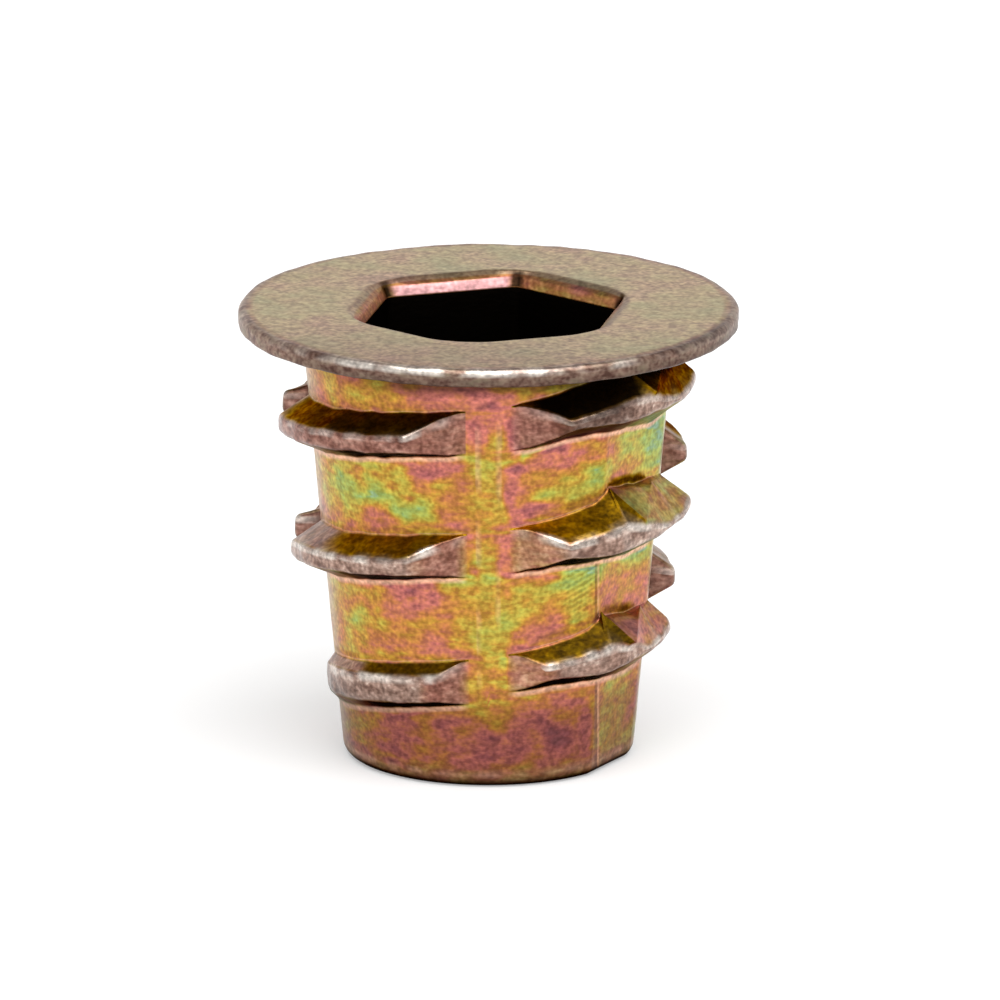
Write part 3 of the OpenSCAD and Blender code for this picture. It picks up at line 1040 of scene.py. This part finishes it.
def add_node(tree, kind, links=None, values=None, stops=(), **settings):
    """A node of the class "ShaderNode" + kind."""
    node = tree.nodes.new("ShaderNode" + kind)
    for name, value in settings.items():
        setattr(node, name, value)
    for name, value in (values or {}).items():
        node.inputs[name].default_value = value
    for name, socket_out in (links or {}).items():
        tree.links.new(socket_out, node.inputs[name])
    if stops:
        elements = node.color_ramp.elements
        while len(elements) < len(stops):
            elements.new(0.5)
        for element, (position, colour) in zip(elements, stops):
            element.position, element.color = position, linear(colour)
    return node


print("white turns into", linear("#ffffff"))

# %% [markdown]
# ## Colours of the finish
# The film's colours follow its thickness. The other lists give dark to light tones of rubbed metal, browned
# film, the rim, the pooled gold that also stands for shade in the hollows and the flange's flat face, which
# is a dull khaki.

# %% Colours
FILM_COLOURS = [
    (0.00, "#985e60"), (0.13, "#ad6463"), (0.27, "#cc796b"), (0.41, "#c8814c"), (0.54, "#c5923e"),
    (0.66, "#c4ac48"), (0.78, "#b4b350"), (0.90, "#9db363"), (1.00, "#8caa8c"),
]
RUBBED_COLOURS = [(0.3, "#826357"), (0.45, "#9a7c6e"), (0.6, "#ad8f81"), (0.75, "#c6afa1")]
BROWNED_COLOURS = [(0.3, "#875649"), (0.5, "#9f6c5e"), (0.7, "#b58575")]
RIM_COLOURS = [(0.3, "#8e6a5d"), (0.45, "#a68676"), (0.6, "#b59c88"), (0.75, "#a6967e")]
# Pooled olive gold, which also serves as painted shade on the upper flanks.
POOLED_AND_SHADE_COLOURS = [(0.3, "#7c5a04"), (0.5, "#9d7305"), (0.7, "#bb900a")]
FACE_COLOURS = [(0.3, "#cba68b"), (0.42, "#d2b490"), (0.55, "#d0ba8f"), (0.68, "#c4b78c")]
POOLED_AND_SHADE_EDGE = "#b38a1e"
# Pale side, with a painted highlight down the right edge.
PALE_AND_HIGHLIGHT = "#cbb69c"
# Painted highlight lines.
HIGHLIGHT_LINE_COLOUR = "#f0bc9c"
# Painted highlight in the far lead-in.
LEAD_IN_HIGHLIGHT = "#dca6a6"
# Painted shade, and a darker tone towards the foot.
DARKER_AND_SHADED_TINT = "#8f8888"
# The die's step, painted as a highlight and a shadow.
STEP_HIGHLIGHT = "#dea480"
STEP_SHADOW = "#6d3f35"
# Painted highlight and bright wear.
BRIGHT_WEAR_AND_HIGHLIGHT = "#f4ebe0"
# Painted black shade.
SHADE_BLACK = "#17120c"
print(len(FILM_COLOURS), "film colours, purple to teal")

# %% Patterns of a real size
def grain(tree, size_mm, detail, stretch=(1, 1, 1)):
    """Noise in object space with features of a real size."""
    place_in = add_node(tree, "TexCoord").outputs["Object"]
    scale = add_node(tree, "Mapping", links={"Vector": place_in}, values={"Scale": stretch})
    return add_node(
        tree, "TexNoise", links={"Vector": scale.outputs["Vector"]},
        values={"Scale": 0.5 / (size_mm * MM), "Detail": detail, "Roughness": 0.6},
    ).outputs["Fac"]


def break_up(tree, value, pattern, share):
    """A value that a pattern moves up and down: value + (pattern - 0.5) * share."""
    moved = add_node(
        tree, "Math", operation="MULTIPLY_ADD", links={0: pattern}, values={1: share, 2: -share / 2},
    )
    return add_node(tree, "Math", operation="ADD", links={0: value, 1: moved.outputs[0]}).outputs[0]


print("noise with features of 1 mm has scale", 0.5 / MM)

# %% Finishes in layers
def lay_finishes(tree, colour, layers):
    """Finishes laid one after another over a colour. A layer is how much of it shows, its colour, or a row
    of colours, and the tone that picks one of the row."""
    for amount, finish, tone in layers:
        over = add_node(tree, "Mix", links={0: amount, 6: colour}, data_type="RGBA")
        if tone is None:
            over.inputs[7].default_value = linear(finish)
        else:
            shades = add_node(tree, "ValToRGB", links={"Fac": tone}, stops=finish)
            tree.links.new(shades.outputs["Color"], over.inputs[7])
        colour = over.outputs[2]
    return colour


print("the lowest layer runs between", FILM_COLOURS[0][1], FILM_COLOURS[-1][1])

# %% [markdown]
# ## Chromated die-cast zinc
# The metal is zinc alloy, die-cast, tumbled, zinc-plated and passivated in yellow chromate. It is a metal
# through and through, fairly rough, so it mirrors only soft light, and its colour comes from the film. The
# stains are broken up into drained streaks about a millimetre wide, cloudy mottling about half a millimetre
# across and the grain of the cast skin below 0.2 mm, which also roughens the surface.

# %% Metal, maps and patterns
zinc = bpy.data.materials.new("chromated_zinc_die_casting")
zinc.use_nodes = True
tree = zinc.node_tree
metal = tree.nodes["Principled BSDF"]
metal.inputs["Metallic"].default_value = 1.0
maps = {name: add_node(tree, "Attribute", attribute_name=name).outputs["Fac"] for name in MAPS}
drains = grain(tree, 1.2, 3.0, (1, 1, 5))
patches = grain(tree, 1.1, 2.0)
clouds = grain(tree, 0.45, 3.0, (1, 1, 2.8))
cast = grain(tree, 0.16, 2.0, (1, 1, 1.6))
fine = grain(tree, 0.07, 0.0)
print(len(tree.nodes), "nodes read the maps and make the patterns")

# %% Colour of the film, the worn places, painted highlights and painted shade
order = maps["film"]
for pattern, share in ((clouds, 0.38), (drains, 0.32), (cast, 0.22)):
    order = break_up(tree, order, pattern, share)
film_colour = add_node(tree, "ValToRGB", links={"Fac": order}, stops=FILM_COLOURS)
tone = break_up(tree, break_up(tree, clouds, cast, 0.5), fine, 0.2)
face_tone = break_up(tree, break_up(tree, patches, cast, 0.3), fine, 0.2)
worn_and_painted_light = lay_finishes(tree, film_colour.outputs["Color"], [
    (maps["pale_and_edge_highlight"], PALE_AND_HIGHLIGHT, None),
    (maps["face"], FACE_COLOURS, face_tone),
    (maps["rubbed"], RUBBED_COLOURS, tone),
    (maps["browned"], BROWNED_COLOURS, tone),
    (maps["rim"], RIM_COLOURS, tone),
    (maps["highlight_lines"], HIGHLIGHT_LINE_COLOUR, None),
    (maps["far_lead_in_highlight"], LEAD_IN_HIGHLIGHT, None),
    (maps["pooled_and_shade"], POOLED_AND_SHADE_COLOURS, tone),
])
# Painted shade darkens the colour here, besides the darker foot and rear lobes.
darkened_and_shaded = add_node(
    tree, "Mix", links={0: maps["darker_and_shaded"], 6: worn_and_painted_light}, values={7: linear(DARKER_AND_SHADED_TINT)},
    data_type="RGBA", blend_type="MULTIPLY",
)
print(len(tree.nodes), "nodes with the film and the worn places")

# %% Painted step of the die and painted highlights
SPLIT_X = 3.68              # mm to the right of the middle, where the front die block ends


def painted_step_line(offset, half_width):
    """How much shows of a thin upright line beside the die's step, broken up by the clouds. The step isn't
    in the shape; these lines paint its highlight and its shadow.
    """
    amount = add_node(
        tree, "Math", operation="COMPARE", links={0: maps["across"]},
        values={1: SPLIT_X + offset, 2: half_width},
    ).outputs[0]
    for share in (maps["split"], clouds):
        kept = add_node(tree, "Math", operation="MULTIPLY", links={0: amount, 1: share})
        amount = kept.outputs[0]
    return amount


# The step is painted, not modelled: a highlight on its right, a shadow on its left.
marked = lay_finishes(tree, darkened_and_shaded.outputs[2], [
    (painted_step_line(0.04, 0.035), STEP_HIGHLIGHT, None),
    (painted_step_line(-0.04, 0.045), STEP_SHADOW, None),
    (maps["bright_wear_and_highlight"], BRIGHT_WEAR_AND_HIGHLIGHT, None),
])
print(len(tree.nodes), "nodes with the die's step")

# %% Speckle, ripples and painted shade
wave = add_node(tree, "Math", operation="SINE", links={0: maps["gate_phase"]}).outputs[0]
ripples = add_node(tree, "Math", operation="MULTIPLY", links={0: wave, 1: maps["gate"]}).outputs[0]
# The die's ripples also lighten and darken the colour as painted light and shade; the rest is random tone.
speckle = break_up(tree, break_up(tree, cast, fine, 0.6), ripples, 0.16)
shade = add_node(
    tree, "MapRange", links={"Value": speckle},
    values={"From Min": 0.2, "From Max": 0.8, "To Min": 0.62, "To Max": 1.26},
)
shaded = add_node(
    tree, "Mix", links={6: marked, 7: shade.outputs["Result"]}, values={0: 1.0},
    data_type="RGBA", blend_type="MULTIPLY",
)
# Painted shade: the darkest places turn nearly black.
colour = lay_finishes(tree, shaded.outputs[2], [(maps["painted_shade"], SHADE_BLACK, None)])
tree.links.new(colour, metal.inputs["Base Color"])
print(len(tree.nodes), "nodes with the speckle")

# %% Gloss and grain
# A metal mirrors more and whiter light at a glancing angle. Under the pooled gold and its painted shade it
# stays golden, and in the painted black shade it stays dark.
glancing = add_node(
    tree, "Mix", links={0: maps["pooled_and_shade"]}, data_type="RGBA",
    values={6: linear("#ffffff"), 7: linear(POOLED_AND_SHADE_EDGE)},
)
glancing = lay_finishes(tree, glancing.outputs[2], [(maps["painted_shade"], "#000000", None)])
ROUGH_FILM, ROUGH_RUBBED = 0.4, 0.24
GRAIN_DEPTH = 0.02 * MM
polish = break_up(tree, maps["rubbed"], tone, 0.5)
roughness = add_node(
    tree, "MapRange", links={"Value": polish},
    values={"From Min": 0.0, "From Max": 1.0, "To Min": ROUGH_FILM, "To Max": ROUGH_RUBBED},
)
height = break_up(tree, break_up(tree, cast, clouds, 1.0), ripples, 0.5)
bump = add_node(tree, "Bump", links={"Height": height}, values={"Strength": 0.6, "Distance": GRAIN_DEPTH})
tree.links.new(glancing, metal.inputs["Specular Tint"])
tree.links.new(roughness.outputs["Result"], metal.inputs["Roughness"])
tree.links.new(bump.outputs["Normal"], metal.inputs["Normal"])
casting.data.materials.append(zinc)
print(len(tree.nodes), "nodes in the whole metal")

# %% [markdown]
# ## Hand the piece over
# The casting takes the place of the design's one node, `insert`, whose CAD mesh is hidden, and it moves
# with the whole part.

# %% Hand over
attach(casting, "root")
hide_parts("insert")
print("pieces handed over:", casting.name)

# %% [markdown]
# ## White room
# A metal shows what stands round it, so the room matters more than the lamp. It is white at the sides and
# dims towards the ceiling, which keeps the flange's face from glaring. Only the camera sees it as plain
# white.

# %% White room
WHITE, CEILING_GREY = "#ffffff", "#898989"
ROOM_LIGHT = 0.9

world = bpy.data.worlds.new("white_room")
bpy.context.scene.world = world
world.use_nodes = True
tree = world.node_tree
tree.nodes.clear()
direction = add_node(tree, "TexCoord")
axes = add_node(tree, "SeparateXYZ", links={"Vector": direction.outputs["Generated"]})
walls = add_node(
    tree, "ValToRGB", links={"Fac": axes.outputs["Z"]}, stops=[(0.3, WHITE), (0.9, CEILING_GREY)],
)
ray = add_node(tree, "LightPath")
lit = add_node(tree, "Background", links={"Color": walls.outputs["Color"]}, values={"Strength": ROOM_LIGHT})
seen = add_node(tree, "Background", values={"Color": linear(WHITE), "Strength": 1.0})
room = add_node(
    tree, "MixShader", links={0: ray.outputs["Is Camera Ray"], 1: lit.outputs[0], 2: seen.outputs[0]},
)
add_node(tree, "OutputWorld", links={"Surface": room.outputs[0]})
print(len(tree.nodes), "nodes in the room")

# %% [markdown]
# ## Lamp
# One large softbox stands high in front, a little to the right. It draws the thin bright line along the
# front of the rim and throws the shadow to the back, which a small lamp would make hard.

# %% Lamp
LAMP_AZIMUTH, LAMP_ELEVATION = 15, 66
LAMP_WIDTH, LAMP_HEIGHT, LAMP_DISTANCE = 0.55, 0.5, 0.45    # metres
AIM_HEIGHT = 10 * MM
RADIANCE = 3.2
softbox = bpy.data.lights.new("softbox_front", "AREA")
softbox.shape = "RECTANGLE"
softbox.size, softbox.size_y = LAMP_WIDTH, LAMP_HEIGHT
softbox.energy = RADIANCE * math.pi * LAMP_WIDTH * LAMP_HEIGHT
lamp = bpy.data.objects.new("softbox_front", softbox)
a, e = math.radians(LAMP_AZIMUTH), math.radians(LAMP_ELEVATION)
outwards = Vector((math.cos(e) * math.sin(a), -math.cos(e) * math.cos(a), math.sin(e)))
lamp.location = outwards * LAMP_DISTANCE + Vector((0, 0, AIM_HEIGHT))
lamp.rotation_euler = outwards.to_track_quat("Z", "Y").to_euler()
bpy.context.collection.objects.link(lamp)
print(f"{lamp.name}: {softbox.energy:.2f} W")

# %% [markdown]
# ## White paper
# The insert stands on white paper. A matt sheet alone would come out grey, so it glows a little for the
# camera and in mirror images, and gives no more light than plain paper does. The shadow stays on it.

# %% A sheet on the floor
HALF_SHEET = 3.0            # metres, so that its edge is never in view

floor_mesh = bpy.data.meshes.new("floor")
corners = [(x * HALF_SHEET, y * HALF_SHEET, 0) for x, y in ((-1, -1), (1, -1), (1, 1), (-1, 1))]
floor_mesh.from_pydata(corners, [], [(0, 1, 2, 3)])
floor = bpy.data.objects.new("floor", floor_mesh)
bpy.context.collection.objects.link(floor)
print("floor:", 2 * HALF_SHEET, "m square")

# %% White paper
PAPER_WHITE, PAPER_GLOW = "#dadada", 0.33

paper = bpy.data.materials.new("white_paper")
paper.use_nodes = True
tree = paper.node_tree
tree.nodes.clear()
ray = add_node(tree, "LightPath")
looked_at = add_node(
    tree, "Math", operation="MAXIMUM",
    links={0: ray.outputs["Is Camera Ray"], 1: ray.outputs["Is Glossy Ray"]},
)
glow = add_node(
    tree, "Math", operation="MULTIPLY", links={0: looked_at.outputs[0]}, values={1: PAPER_GLOW},
)
shine = add_node(tree, "Emission", links={"Strength": glow.outputs[0]}, values={"Color": linear(WHITE)})
matt = add_node(tree, "BsdfDiffuse", values={"Color": linear(PAPER_WHITE)})
sheet = add_node(tree, "AddShader", links={0: shine.outputs[0], 1: matt.outputs[0]})
add_node(tree, "OutputMaterial", links={"Surface": sheet.outputs[0]})
floor.data.materials.append(paper)
bpy.context.scene.view_settings.view_transform = "Standard"
print(len(tree.nodes), "nodes in the paper")
